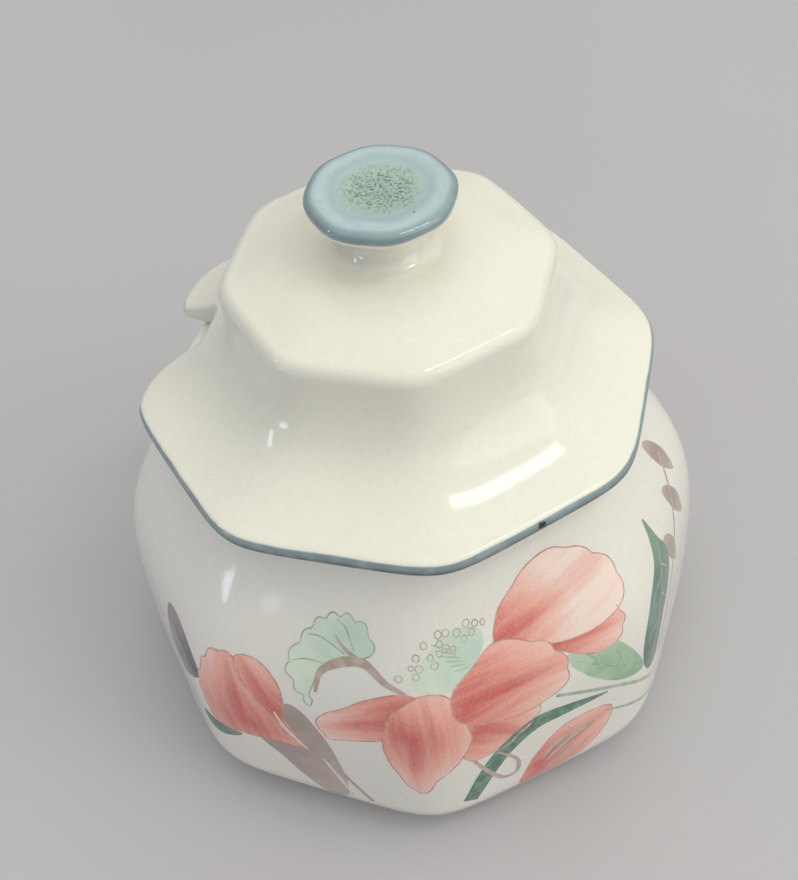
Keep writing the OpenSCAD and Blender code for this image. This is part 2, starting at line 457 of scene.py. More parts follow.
def outer_a(z):
    """Distance to the bowl's flats, outside, at height z."""
    t = np.clip((z - BELLY_Z) / (BOWL_H - BELLY_Z), 0, 1)
    shoulder = mix(NECK_A, BELLY_A, (1 - t ** SHOULDER_FULL) ** NECK_SWEEP)
    drop = np.clip((BELLY_Z - z) / (BELLY_Z - FOOT_H), 0, 1)
    belly = FOOT_A + (BELLY_A - FOOT_A) * np.sqrt(1 - drop ** 2)
    return np.where(z > BELLY_Z, shoulder, belly)


def outer_p(z):
    """Exponent of the bowl's section at height z, softer towards the neck."""
    return mix(CRISP, NECK_SOFT, np.clip((z - BELLY_Z) / (BOWL_H - BELLY_Z), 0, 1) ** 4)


def bowl_profile():
    """The bowl's outline, from the middle of its underside round to the middle of its floor.

    A list of (points (distance to the flats, height), exponent or None for outer_p, unglazed)."""
    floor_z = FOOT_H + BOWL_WALL
    inner_belly_z = BELLY_Z + BOWL_WALL
    inner_top = BOWL_H - MOUTH_DEPTH
    top_z = BOWL_H - LIP
    lip_a = float(outer_a(np.array(top_z))) - LIP
    belly_a = BELLY_A - FOOT_A
    heights = np.linspace(BELLY_Z, top_z, 64)[1:]
    inner_heights = np.linspace(inner_top - 2, inner_belly_z, 40)
    inner_a = outer_a(inner_heights) - BOWL_WALL
    foot_out = FOOT_A - 0.2
    foot_in = FOOT_A - FOOT_RING
    return [
        (straight((2, FOOT_H), (foot_in - 1.6, FOOT_H), 8), CRISP, 0),
        (arc(foot_in - 1.6, FOOT_H - 0.6, 0.6, 0.6, 90, 20, 5), CRISP, 0),
        (arc(foot_in + 0.6, 0.5, 0.9, 0.5, 180, 262, 5), CRISP, 1),
        (straight((foot_in + 1.2, 0), (foot_out - 0.9, 0), 4), CRISP, 1),
        (arc(foot_out - 0.6, 0.5, 0.6, 0.5, -85, 0, 6), CRISP, 1),
        (arc(foot_out + 0.5, FOOT_H - 0.5, 0.5, 0.5, 180, 100, 5), CRISP, 0),
        (arc(FOOT_A, BELLY_Z, belly_a, BELLY_Z - FOOT_H, -84, 0, 24), CRISP, 0),
        (np.stack([outer_a(heights), heights], 1), None, 0),
        (arc(lip_a, top_z, LIP, LIP, 12, 90, 8), NECK_SOFT, 0),
        (arc(MOUTH_R + 1, BOWL_H - 1, 1, 1, 90, 180, 7), ROUND, 0),
        (straight((MOUTH_R, BOWL_H - 2), (MOUTH_R, inner_top), 8), ROUND, 0),
        (np.stack([inner_a, inner_heights], 1), CRISP, 0),
        (arc(FOOT_A, inner_belly_z, belly_a - BOWL_WALL, inner_belly_z - floor_z, -5, -90, 18), CRISP, 0),
        (straight((FOOT_A - 2, floor_z), (2, floor_z), 12), CRISP, 0),
    ]


def make_bowl(material):
    around = 352
    angle = np.linspace(0, math.tau, around, endpoint=False)
    rings, bare = [], []
    for points, p, unglazed in bowl_profile():
        for a, z in points:
            r = a * oct_r(angle, outer_p(z) if p is None else p)
            if z > FOOT_H:
                r = r + ripple(angle, z)
            rings.append(raised(plan_at(angle, r), z))
            bare.append(np.full(around, float(unglazed)))
    piece = loft_piece("bowl_body", np.array(rings), material, {"bare": np.array(bare)})
    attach(piece, "bowl")
    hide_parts("bowl")


# ---- Lid ----

def flare_exponent(z):
    t = np.clip(z / (DOME_H - DOME_R), 0, 1)
    return mix(CRISP, FLARE_SOFT, np.sin(math.pi * t))


def flare_r(angle, z):
    """Distance from the axis to the lid's outer surface at an angle and a height above the rim."""
    a = mix(DOME_A, RIM_A, (1 - z / DOME_H) ** FLARE)
    return a * oct_r(angle, flare_exponent(z))


def flare_z(x, y):
    """Height above the rim of the lid's outer surface over points (x, y), by bisection."""
    angle = np.arctan2(y, x)
    r = np.hypot(x, y)
    low = np.full(r.shape, -1.0)
    high = np.full(r.shape, DOME_H - 2.0)
    for _ in range(30):
        middle = (low + high) / 2
        outside = flare_r(angle, middle) > r
        low = np.where(outside, middle, low)
        high = np.where(outside, high, middle)
    return low


def notch_half(x, inner, outer, sweep):
    """Distance from the lid's middle line to a side of the notch, at distance x from the axis."""
    short = np.maximum(0, NOTCH_R + NOTCH_ROUND - x)
    inset = NOTCH_ROUND - np.sqrt(np.maximum(0, NOTCH_ROUND ** 2 - short ** 2))
    t = (x - NOTCH_R) / (RIM_A - NOTCH_R)
    return mix(inner, outer, t ** sweep) - inset


def rounded_corner(before, corner, after, n):
    t = np.linspace(0, 1, n)[:, None]
    return (1 - t) ** 2 * before + 2 * t * (1 - t) * corner + t ** 2 * after


def spaced(points, gap):
    """The same open line with its points evenly spaced, about gap apart."""
    step = np.hypot(*np.diff(points, axis=0).T)
    run = np.concatenate([[0], np.cumsum(step)])
    at = np.linspace(0, run[-1], max(2, int(round(run[-1] / gap)) + 1))
    return np.stack([np.interp(at, run, points[:, 0]), np.interp(at, run, points[:, 1])], 1)


def notch_side(side, hand):
    """One side of the notch on the -X side, from its bottom out to the rim."""
    x = mix(NOTCH_R, RIM_A + 2, np.linspace(0, 1, 400) ** 2)
    y = notch_half(x, *side)
    inside = np.hypot(x, y) < RIM_A * oct_r(np.arctan2(y, x), CRISP)
    return np.stack([-x[inside], hand * y[inside]], 1)


def lid_edge():
    """The lid's edge seen from above, anticlockwise: points, angles for the dome, and paint.

    The edge runs round the rim and into the spoon notch, whose two corners are rounded."""
    easy = notch_side(EASY_SIDE, -1)
    steep = notch_side(STEEP_SIDE, 1)
    easy_round, steep_round = 7, 2.2
    first, last = (math.atan2(side[-1][1], side[-1][0]) + math.tau for side in (easy, steep))
    start = first + easy_round / RIM_A
    stop = last - steep_round / RIM_A
    rim_angles = np.linspace(start, stop, 300)
    rim_line = plan_at(rim_angles, RIM_A * oct_r(rim_angles, CRISP))

    def cut(side, length):
        """The side without its last stretch of that length."""
        from_end = np.hypot(*(side - side[-1]).T)
        return side[from_end > length]

    easy_line = cut(easy, easy_round)
    steep_line = cut(steep, steep_round)
    steep_bend = rounded_corner(rim_line[-1], steep[-1], steep_line[-1], 12)
    easy_bend = rounded_corner(easy_line[-1], easy[-1], rim_line[0], 18)
    notch = np.concatenate([steep_bend[:-1], steep_line[::-1], easy_line[1:], easy_bend[1:]])
    notch = spaced(notch, NOTCH_STEP)
    edge = np.concatenate([rim_line, notch[1:-1]])
    inner = len(notch) - 2
    fractions = np.arange(1, inner + 1) / (inner + 1)
    inset = notch[1:-1] + inward(notch)[1:-1] * LIP
    bearing = np.arctan2(inset[:, 1], inset[:, 0]) + math.tau
    even = mix(stop, start + math.tau, fractions)
    bearing = np.where(bearing < stop - 1, bearing + math.tau, bearing)
    bearing = np.maximum.accumulate(np.clip(mix(bearing, even, EVENNESS), stop, start + math.tau))
    bearing = bearing + fractions * 0.004
    angles = np.concatenate([rim_angles, bearing])
    from_corner = np.minimum(fractions, 1 - fractions) * (inner + 1) * NOTCH_STEP
    paint = np.concatenate([np.ones(len(rim_line)), np.clip(1 - from_corner / 3, 0, 1)])
    return edge, angles, paint


def along_loop(line):
    """The way along a closed line at each of its points."""
    return np.roll(line, -1, 0) - np.roll(line, 1, 0)


def left_of(along):
    """Unit vectors that point to the left of these."""
    side = np.stack([-along[:, 1], along[:, 0]], 1)
    return side / np.hypot(*side.T)[:, None]


def inward(edge):
    """Unit normals of a closed anticlockwise line, pointing to its inside, slightly smoothed."""
    normal = left_of(along_loop(edge))
    for _ in range(2):
        normal = np.roll(normal, 1, 0) + 2 * normal + np.roll(normal, -1, 0)
        normal /= np.hypot(*normal.T)[:, None]
    return normal


def bend_radius(edge):
    """Radius of a closed anticlockwise line at each point, where it bends outwards."""
    along = along_loop(edge)
    heading = np.arctan2(along[:, 1], along[:, 0])
    turn = np.roll(heading, -1) - np.roll(heading, 1)
    turn = (turn + math.pi) % math.tau - math.pi
    return np.hypot(*along.T) / np.maximum(turn, 0.01)


def lower_reach(edge):
    """How far the rounding under the edge reaches in, less in narrow places and at sharp bends."""
    room = np.hypot(*edge.T) - OPENING_R
    reach = np.minimum(np.minimum(LOWER_ROUND, 0.62 * room), 0.8 * bend_radius(edge))
    reach = np.min([np.roll(reach, k) for k in range(-5, 6)], 0)
    return np.convolve(np.tile(reach, 3), np.ones(9) / 9, "same")[len(edge):2 * len(edge), None]


def lid_ring(angle, a, z, p):
    return raised(plan_at(angle, a * oct_r(angle, p) + ripple(angle, z, RIPPLE if a > 12 else 0)), z)


def inside_rings(angle):
    """The hollow, from its middle at the top down to the edge of its opening."""
    inner_a = DOME_A - LID_WALL
    inner_h = DOME_H - LID_WALL
    inner_r = DOME_R / 2
    for t in np.linspace(0, 1, 10, endpoint=False):
        z = inner_h + CROWN_RISE * math.cos(math.pi / 2 * t)
        yield lid_ring(angle, mix(2, inner_a - inner_r, t), z, mix(ROUND, CRISP, t * t))
    for a, z in arc(inner_a - inner_r, inner_h - inner_r, inner_r, inner_r, 90, 0, 8):
        yield lid_ring(angle, a, z, CRISP)
    for t in np.linspace(0, 1, 26)[1:]:
        z = mix(inner_h - inner_r, 0, t)
        a = mix(inner_a, UNDER_R, (1 - z / inner_h) ** (FLARE - 1))
        yield lid_ring(angle, a, z, mix(CRISP, ROUND, t))
    for z in np.linspace(-0.4, UNDER_ROUND - RIM_T, 6):
        yield lid_ring(angle, UNDER_R, z, ROUND)
    for a, z in arc(OPENING_R, UNDER_ROUND - RIM_T, UNDER_ROUND, UNDER_ROUND, 195, 270, 5):
        yield lid_ring(angle, a, z, ROUND)


def underside_rings(angle, low_line):
    """The flat underside, from a circle round the opening out to the low line.

    The circle's points lie a little behind the low line's and never turn back. Beside the notch's steep
    side a sliver still folds over."""
    behind = 0.012
    bearing = np.unwrap(np.arctan2(low_line[:, 1], low_line[:, 0])) - behind
    bearing += math.tau * round((angle[0] - bearing[0]) / math.tau)
    bearing = mix(np.minimum.accumulate(bearing[::-1])[::-1], angle, EVENNESS)
    seat = plan_at(bearing, 1) * (OPENING_R + 0.15)
    for t in np.linspace(0, 1, 12):
        yield raised(mix(seat, low_line, t), -RIM_T)


def edge_rings(edge, normal, reach):
    """The rounded lower edge, the upright side and the rounded lip, with their band marks."""
    land = LIP + 0.3
    quarter = np.radians(np.linspace(0, 90, 9))
    for t in quarter[1:]:
        z = -land - (RIM_T - land) * math.cos(t)
        yield raised(edge + normal * reach * (1 - math.sin(t)), z), z
    crest = flare_z(edge[:, 0], edge[:, 1])
    for t in np.linspace(0, 1, 6)[1:-1]:
        yield raised(edge, mix(-land, crest - LIP, t)), -LIP
    for t in quarter:
        inset = LIP * (1 - math.cos(t))
        below = LIP * (1 - math.sin(t))
        plan = edge + normal * inset
        yield raised(plan, flare_z(plan[:, 0], plan[:, 1]) - below), inset - below


def flange_rings(angle, outer):
    """The flange's top, from the lip's inner line to the wall, with its band marks."""
    bend = plan_at(angle, flare_r(angle, BEND_Z))
    for t in np.linspace(0, 1, 26)[1:]:
        plan = mix(outer, bend, t)
        z = flare_z(plan[:, 0], plan[:, 1])
        swell = ripple(angle, z) * min(1, 4 * t)
        yield raised(plan * (1 + swell / np.hypot(*plan.T))[:, None], z), LIP + 14 * t


def dome_rings(angle):
    """The wall, the rounded shoulder and the crown, up to its middle."""
    wall_top = DOME_H - DOME_R
    shoulder = DOME_A - DOME_R
    for z in np.linspace(BEND_Z, wall_top, 22)[1:]:
        yield raised(plan_at(angle, flare_r(angle, z) + ripple(angle, z)), z)
    for a, z in arc(shoulder, wall_top, DOME_R, DOME_R, 0, 82, 15)[1:]:
        yield lid_ring(angle, a, z, CRISP)
    for t in np.linspace(0, 1, 18)[1:]:
        rise = math.sin(math.pi / 2 * t)
        a = mix(shoulder, BASE_R + 1, t)
        yield lid_ring(angle, a, DOME_H + CROWN_RISE * rise, mix(CRISP, ROUND, rise))
    for a in (7.5, 5, 2.5):
        yield lid_ring(angle, a, DOME_H + CROWN_RISE, ROUND)


# A band mark is a height over the rim's top face, and past the lip the way in over the flange, in mm.
# These two stand where no band is painted.
BAND_UNDER, BAND_OVER = -5.0, 9.0


def lid_rings():
    """The lid's rings from the crown inside to the crown outside, their band marks and their paint."""
    edge, angle, paint = lid_edge()
    normal = inward(edge)
    reach = lower_reach(edge)
    marked = [(ring, BAND_UNDER) for ring in inside_rings(angle)]
    marked += [(ring, BAND_UNDER) for ring in underside_rings(angle, edge + normal * reach)]
    marked += edge_rings(edge, normal, reach)
    marked += flange_rings(angle, edge + normal * LIP)
    marked += [(ring, BAND_OVER) for ring in dome_rings(angle)]
    rings = np.array([ring for ring, _ in marked])
    band = np.array([np.full(len(edge), mark) for _, mark in marked])
    return rings, band, np.tile(paint, (len(rings), 1))


def make_lid(material):
    rings, band, paint = lid_rings()
    rings = turned(rings, LID_TURN)
    rings[..., 2] += RIM_Z
    marks = {"band": band, "paint": paint, "bare": np.zeros(band.shape)}
    piece = loft_piece("lid_dome", rings, material, marks)
    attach(piece, "lid")
    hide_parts("lid")


def make_collar(material):
    """Round collar that drops into the mouth, open at the spoon notch, with an unglazed lower edge."""
    low = COLLAR_LOW
    top = RIM_Z - RIM_T + 1
    middle_z = mix(top, low, 0.5)
    chamfer = 0.6
    inner_r = COLLAR_R - COLLAR_T
    profile = np.concatenate([
        [(inner_r, top), (inner_r, middle_z)],
        arc(inner_r + chamfer, low + chamfer, chamfer, chamfer, 180, 270, 5),
        arc(COLLAR_R - chamfer, low + chamfer, chamfer, chamfer, 270, 360, 5),
        [(COLLAR_R, middle_z), (COLLAR_R, top)],
    ])
    middle_r = (inner_r + COLLAR_R) / 2
    start = math.radians(180 + COLLAR_START) + LID_TURN
    stop = math.radians(540 - COLLAR_STOP) + LID_TURN
    round_off = 0.022
    rings = []
    for angle in np.linspace(start, stop, 260):
        near = min(angle - start, stop - angle) / round_off
        size = 1 if near >= 1 else math.sqrt(1 - (1 - near) ** 2) * 0.98 + 0.02
        r = middle_r + (profile[:, 0] - middle_r) * size
        rings.append(raised(plan_at(angle, r), profile[:, 1]))
    shape = (len(rings), len(profile))
    bare = np.broadcast_to(profile[:, 1] < low + chamfer * 0.9, shape)
    marks = {"bare": bare.astype(float), "band": np.full(shape, BAND_OVER), "paint": np.zeros(shape)}
    piece = loft_piece("lid_collar", np.array(rings)[::-1], material, marks)
    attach(piece, "lid")


# ---- Knob ----

def knob_outline():
    """The knob's outline as (distance to the flats, height, exponent).

    It runs from under the crown's skin up the waist and round the disc to the middle of its dish."""
    under_in, edge_in = 1.4, 2.2
    sunk = -1.2
    quarter = math.pi / 2
    t = np.linspace(0, 1, 14, endpoint=False)
    sweep = np.stack([mix(BASE_R + 0.6, WAIST_R, np.sin(quarter * t)),
                      mix(-0.05, WAIST_Z, (1 - np.cos(quarter * t)) ** 1.15)], 1)
    t = np.linspace(0, 1, 16, endpoint=False)
    under = np.stack([mix(WAIST_R, KNOB_A - under_in, 1 - np.cos(quarter * t)),
                      mix(WAIST_Z, DISC_Z, np.sin(quarter * t))], 1)
    t = np.linspace(0, 1, 16)[1:]
    dish = np.stack([mix(KNOB_A - edge_in, 1, t), KNOB_H - DISH * np.sin(quarter * t) ** 1.5], 1)
    # Each part: its points, its first and last exponent, and how late the change between them comes
    parts = [
        (straight((1, sunk), (BASE_R, sunk), 4), ROUND, ROUND, 1),
        (straight((BASE_R + 0.8, sunk), (BASE_R + 1, -0.12), 4), ROUND, ROUND, 1),
        (sweep, ROUND, ROUND, 1),
        (under, ROUND, KNOB_P, 2),
        (arc(KNOB_A - under_in, EDGE_Z, under_in, EDGE_Z - DISC_Z, -80, 0, 12), KNOB_P, KNOB_P, 1),
        (arc(KNOB_A - edge_in, EDGE_Z, edge_in, KNOB_H - EDGE_Z, 8, 90, 12), KNOB_P, KNOB_P, 1),
        (dish, KNOB_P, ROUND, 1),
    ]
    return [(a, z, mix(first, last, (i / len(points)) ** late))
            for points, first, last, late in parts for i, (a, z) in enumerate(points)]


def make_knob(material):
    """The knob, whose mark "run" is the way over its skin from the middle of the dish, in mm."""
    around = 160
    angle = np.linspace(0, math.tau, around, endpoint=False)
    outline = knob_outline()
    step = np.hypot(*np.diff([(a, z) for a, z, _ in outline], axis=0).T)
    run = np.concatenate([np.cumsum(step[::-1])[::-1], [0]]) + 1
    rings = []
    for a, z, p in outline:
        r = a * oct_r(angle, p) + ripple(angle, z, 0.06 if a > 3 else 0)
        rings.append(raised(plan_at(angle, r), z + CROWN_Z))
    marks = {"run": np.repeat(run[:, None], around, 1)}
    piece = loft_piece("lid_knob", turned(np.array(rings), LID_TURN), material, marks)
    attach(piece, "lid")
    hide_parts("knob")


# ---- Flowers printed on the bowl ----
# Places on the bowl are (degrees round the axis, height in mm).

PRINT_R = 58
SINK = 0.15
MESH_GAP = 1.1
LINE_GAP = 0.7
FINE = (0.3, 0.25, 0.15)


def on_bowl(flat, lift):
    """Points on the bowl's outside from flat (run round the bowl in mm, height), lifted off it."""
    angle = flat[:, 0] / PRINT_R
    z = flat[:, 1]

    def skin(angle, z):
        return raised(plan_at(angle, outer_a(z) * oct_r(angle, outer_p(z)) + ripple(angle, z)), z)

    here = skin(angle, z)
    tiny = 1e-3
    normal = np.cross(skin(angle + tiny, z) - here, skin(angle, z + tiny) - here)
    normal /= np.linalg.norm(normal, axis=1)[:, None]
    return here + normal * np.asarray(lift).reshape(-1, 1)


def flat_points(places, turn):
    """Places in (degrees, mm) to points in mm on the unrolled bowl."""
    places = np.array(places, float)
    return np.stack([np.radians(places[:, 0] + turn) * PRINT_R, places[:, 1]], 1)


def smooth_line(points, closed):
    """A Catmull-Rom curve through a few points, evenly spaced."""
    if closed:
        points = np.concatenate([points[-1:], points, points[:2]])
    else:
        points = np.concatenate([2 * points[:1] - points[1:2], points, 2 * points[-1:] - points[-2:-1]])
    t = np.linspace(0, 1, 12, endpoint=False)[:, None]
    curve = []
    for a, b, c, d in zip(points, points[1:], points[2:], points[3:]):
        curve.append(0.5 * (2 * b + (c - a) * t + (2 * a - 5 * b + 4 * c - d) * t ** 2
                            + (3 * b - a - 3 * c + d) * t ** 3))
    line = spaced(np.concatenate(curve + [points[-2:-1]]), LINE_GAP)
    return line[:-1] if closed else line


def inside(points, outline):
    """Which points lie inside a closed outline."""
    x, y = points[:, 0, None], points[:, 1, None]
    x0, y0 = outline.T
    x1, y1 = np.roll(outline, -1, 0).T
    crosses = (y0 > y) != (y1 > y)
    with np.errstate(divide="ignore", invalid="ignore"):
        at = x0 + (y - y0) * (x1 - x0) / (y1 - y0)
    return (crosses & (x < at)).sum(1) % 2 == 1


def nearest(points, others):
    """Distance from each point to the nearest of the others."""
    return np.sqrt(((points[:, None] - others[None]) ** 2).sum(2)).min(1)


def filled(outline):
    """Points and triangles that fill an outline evenly, and the triangles' border."""
    low, high = outline.min(0), outline.max(0)
    rows = np.arange(low[1], high[1], MESH_GAP * 0.87)
    grid = np.array([(x + MESH_GAP / 2 * (k % 2), z) for k, z in enumerate(rows)
                     for x in np.arange(low[0], high[0], MESH_GAP)])
    grid = grid[inside(grid, outline)]
    grid = grid[nearest(grid, outline) > 0.5 * MESH_GAP]
    count = len(outline)
    points = [Vector(p) for p in np.concatenate([outline, grid])]
    loop = [(i, (i + 1) % count) for i in range(count)]
    placed, _, triangles, _, _, _ = delaunay_2d_cdt(points, loop, [], 1, 1e-6)
    sides = [pair for a, b, c in triangles for pair in ((a, b), (b, c), (c, a))]
    used = set(sides)
    border = [pair for pair in sides if pair[::-1] not in used]
    return np.array([tuple(p) for p in placed]), triangles, border


def patch(name, material, outline, lift, heart, reach, tip=None):
    """A thin closed patch of print that follows the bowl. Its tone grows away from the heart."""
    flat, triangles, border = filled(outline)
    total = len(flat)
    top = [tuple(t) for t in triangles]
    bottom = [tuple(total + i for i in reversed(t)) for t in triangles]
    walls = [(b, a, total + a, total + b) for a, b in border]
    solid = np.concatenate([on_bowl(flat, lift), on_bowl(flat, -SINK)])
    tip = outline[np.argmax(np.hypot(*(outline - heart).T))] if tip is None else tip
    axis = (tip - heart) / np.hypot(*(tip - heart))
    off = flat - heart
    tone = np.clip(np.hypot(*off.T) / reach, 0, 1)
    values = {"tone": tone, "along": off @ axis, "across": off @ np.array([-axis[1], axis[0]])}
    values = {key: np.tile(v, 2) for key, v in values.items()}
    place_print(new_piece(name, solid, top + bottom + walls, material, values, sharp=border))


def place_print(piece):
    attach(piece, "bowl")


def ribbons(name, material, lines, lift):
    """Closed strips that follow the bowl: a list of (points, widths, closed)."""
    points, faces, sharp = [], [], []
    total = 0
    for line, width, closed in lines:
        n = len(line)
        side = left_of(along_loop(line) if closed else np.gradient(line, axis=0))
        half = np.broadcast_to(np.asarray(width, float) / 2, n)[:, None]
        left, right = line + side * half, line - side * half
        strip = [on_bowl(left, lift), on_bowl(right, lift), on_bowl(right, -SINK), on_bowl(left, -SINK)]
        points.append(np.stack(strip, 1).reshape(-1, 3))
        for i in range(n if closed else n - 1):
            a = total + 4 * i
            b = total + 4 * ((i + 1) % n)
            for k in range(4):
                faces.append((a + (k + 1) % 4, b + (k + 1) % 4, b + k, a + k))
                sharp.append((a + k, b + k))
        if not closed:
            end = total + 4 * (n - 1)
            faces.append((total + 3, total + 2, total + 1, total))
            faces.append((end, end + 1, end + 2, end + 3))
        total += 4 * n
    place_print(new_piece(name, np.concatenate(points), faces, material, sharp=sharp))


def tapered(n, start, middle, end):
    """Widths along a stroke, from its start through its middle to its end."""
    t = np.linspace(0, 1, n)
    return np.where(t < 0.5, mix(start, middle, np.sin(math.pi * t)), mix(end, middle, np.sin(math.pi * t)))


# Each petal: outline, heart (its deepest tone), tip, reach of the tone in mm, height of its layer in mm
BLOSSOM = {
    "petal_back": ([(318, 52), (324, 53), (330, 54), (334, 52), (334, 48), (331, 45), (327, 45), (322, 48)],
                   (319, 51), (334, 50), 17, 0.05),
    "petal_top": ([(307, 57), (309, 62), (313, 65), (318, 68), (324, 69), (330, 67), (335, 63), (337, 58),
                   (335, 53), (330, 51), (322, 51), (315, 53), (309, 55)], (307, 56), (332, 63), 19, 0.07),
    "petal_low": ([(298, 42), (305, 42), (313, 40), (314, 36), (311, 32), (306, 29), (300, 29), (297, 35)],
                  (302, 38), (311, 31), 17, 0.05),
    "petal_left": ([(271, 37), (272, 41), (276, 44), (281, 48), (288, 51), (292, 49), (288, 44), (284, 38),
                    (277, 35), (273, 34)], (287, 45), (272, 37), 19, 0.05),
    "petal_bottom": ([(290, 50), (286, 46), (284, 40), (284, 34), (286, 27), (290, 20), (294, 26), (298, 31),
                      (300, 37), (299, 43), (297, 49), (293, 51)], (289, 40), (290, 20), 19, 0.09),
    "petal_middle": ([(297, 47), (298, 51), (302, 54), (307, 57), (313, 55), (318, 52), (321, 46), (320, 41),
                      (315, 38), (308, 38), (302, 40), (298, 43)], (300, 46), (320, 47), 27, 0.11),
}


def ruffled(outline, heart, height, waves):
    """An outline with small lobes along the part that lies far from the heart."""
    off = outline - heart
    away = np.hypot(*off.T)
    far = np.clip(2 * away / away.max() - 0.9, 0, 1)
    step = np.hypot(*(np.roll(outline, -1, 0) - outline).T)
    run = np.cumsum(step) / step.sum()
    lobes = np.abs(np.sin(math.pi * waves * run + 0.6 * np.sin(14 * run)))
    return outline + off / away[:, None] * (height * far * (lobes - 0.5))[:, None]


class Spray:
    """Draws parts of one spray of flowers, turned round the bowl by a number of degrees."""

    def __init__(self, turn, side):
        self.turn = turn
        self.side = side

    def curve(self, places, closed=True):
        return smooth_line(flat_points(places, self.turn), closed)

    def spot(self, place):
        return flat_points([place], self.turn)[0]

    def shape(self, name, material, lift, heart, reach, places, ruffle=None, tip=None):
        """A patch within places. ruffle holds its middle, height and number of waves. Returns its edge."""
        edge = self.curve(places)
        if ruffle:
            middle, height, waves = ruffle
            edge = ruffled(edge, self.spot(middle), height, waves)
        patch(f"{name}_{self.side}", material, edge, lift, self.spot(heart), reach, tip and self.spot(tip))
        return edge

    def outline(self, name, material, lines, width, lift):
        ribbons(f"{name}_{self.side}", material, [(line, width, True) for line in lines], lift)

    def strokes(self, name, material, lift, lines):
        """Ribbons through given points: a list of (places, widths at start, middle and end)."""
        drawn = []
        for places, widths in lines:
            line = self.curve(places, False)
            drawn.append((line, tapered(len(line), *widths), False))
        ribbons(f"{name}_{self.side}", material, drawn, lift)


def draw_blossom(draw):
    petals = [(draw.shape(name, CORAL, lift, heart, reach, places, (heart, 0.9, 9), tip), lift)
              for name, (places, heart, tip, reach, lift) in BLOSSOM.items()]
    for k, (petal, lift) in enumerate(petals):
        draw.outline(f"petal_line_{k}", PETAL_LINE, [petal], 0.26, lift + 0.015)


def draw_heart(draw):
    draw.shape("flower_heart", MINT, 0.04, (303, 56), 20, [
        (290, 53), (292, 57), (295, 60), (299, 62), (304, 61), (305, 58), (302, 54), (298, 51), (294, 51)])
    draw.strokes("heart_veins", SAGE_LINE, 0.06, [
        ([(301 - 0.5 * k, 54.5 + 0.8 * k), (298.5 - 0.8 * k, 54.5 + 1.2 * k)], (0.25, 0.2, 0.1))
        for k in range(6)])


def draw_stamens(draw):
    """Small rings scattered over the flower's heart, none too near another."""
    rings = []
    middles = np.array([[-99.0, -99.0]])
    circle = plan_at(np.linspace(0, math.tau, 14, endpoint=False), 1)
    for t, b, c in np.random.default_rng(7).random((160, 3)):
        out = 4.4 * b * math.sin(math.pi * (0.12 + 0.82 * t)) - 0.6
        middle = draw.spot((mix(288, 305.5, t) - 0.45 * out, mix(53.5, 62, t ** 0.85) + 0.9 * out))
        if np.hypot(*(middles - middle).T).min() < 1.45:
            continue
        middles = np.append(middles, [middle], 0)
        rings.append(middle + (0.5 + 0.25 * c) * circle)
    draw.outline("stamens", LINE, rings, 0.22, 0.07)


def draw_mint_leaf(draw):
    leaf = draw.shape("mint_leaf", MINT, 0.05, (279, 57), 20, [
        (270, 43), (267, 47), (265, 52), (267, 57), (271, 62), (276, 64), (281, 63), (283, 59), (281, 57),
        (276, 56), (272, 52), (270, 47)], ((276, 53), 1.2, 15))
    draw.outline("leaf_line", LEAF_LINE, [leaf], 0.26, 0.065)
    draw.strokes("leaf_veins", LEAF_LINE, 0.07, [
        ([(277, 57), (272, 59), (269, 59)], FINE),
        ([(273, 54), (269, 54), (266, 53)], FINE),
        ([(279, 58), (277, 62), (275, 63)], FINE)])
    draw.strokes("leaf_stem", TAUPE_LINE, 0.08, [
        ([(271, 47), (272, 52), (276, 55), (281, 56), (285, 53), (289, 51)], (0.6, 2.0, 0.7)),
        ([(275, 60), (277, 58), (281, 56)], (0.3, 0.9, 1.2))])


def draw_bud(draw):
    draw.shape("bud_calyx", TAUPE, 0.05, (262, 30), 30, [
        (258, 27), (262, 33), (264, 41), (268, 40), (272, 33), (274, 26), (275, 20), (275, 12), (271, 10),
        (266, 15), (262, 21)])
    left = draw.shape("bud_left", CORAL, 0.07, (256, 31), 24, [
        (246, 43), (248, 48), (251, 50), (254, 49), (256, 44), (260, 38), (267, 28), (261, 27), (254, 26),
        (248, 26), (246, 31), (245, 37)], ((264, 29), 0.8, 15))
    right = draw.shape("bud_right", CORAL, 0.09, (263, 38), 20, [
        (254, 50), (258, 51), (262, 48), (264, 43), (264, 36), (267, 29), (262, 34), (258, 41), (255, 45)])
    draw.outline("bud_lines", PETAL_LINE, [left, right], 0.24, 0.105)
    draw.strokes("bud_stem", TAUPE_LINE, 0.07, [([(272, 27), (275, 20), (280, 12)], (1.0, 0.9, 0.9))])
    draw.strokes("calyx_gap", PALE_LINE, 0.115, [
        ([(262, 38), (264, 33), (268, 27)], (0.3, 0.8, 0.4)),
        ([(271, 25), (273, 20), (276, 13)], (0.3, 0.8, 0.8))])


def draw_left_leaves(draw):
    draw.shape("bud_leaf", DARK_LEAF, 0.05, (246, 24), 12, [
        (244, 25), (245, 21), (249, 21), (254, 25), (249, 25)])
    draw.shape("grey_leaf", GREY_LEAF, 0.05, (242, 38), 14, [
        (230, 43), (234, 46), (239, 45), (243, 42), (245, 38), (241, 33), (235, 29), (230, 32)])
    draw.strokes("grey_veins", SHADE_LINE, 0.065, [
        ([(232, 41), (238, 40), (244, 38)], (0.4, 1.2, 0.3)),
        ([(233, 34), (238, 36), (243, 38)], (0.3, 0.8, 0.2))])


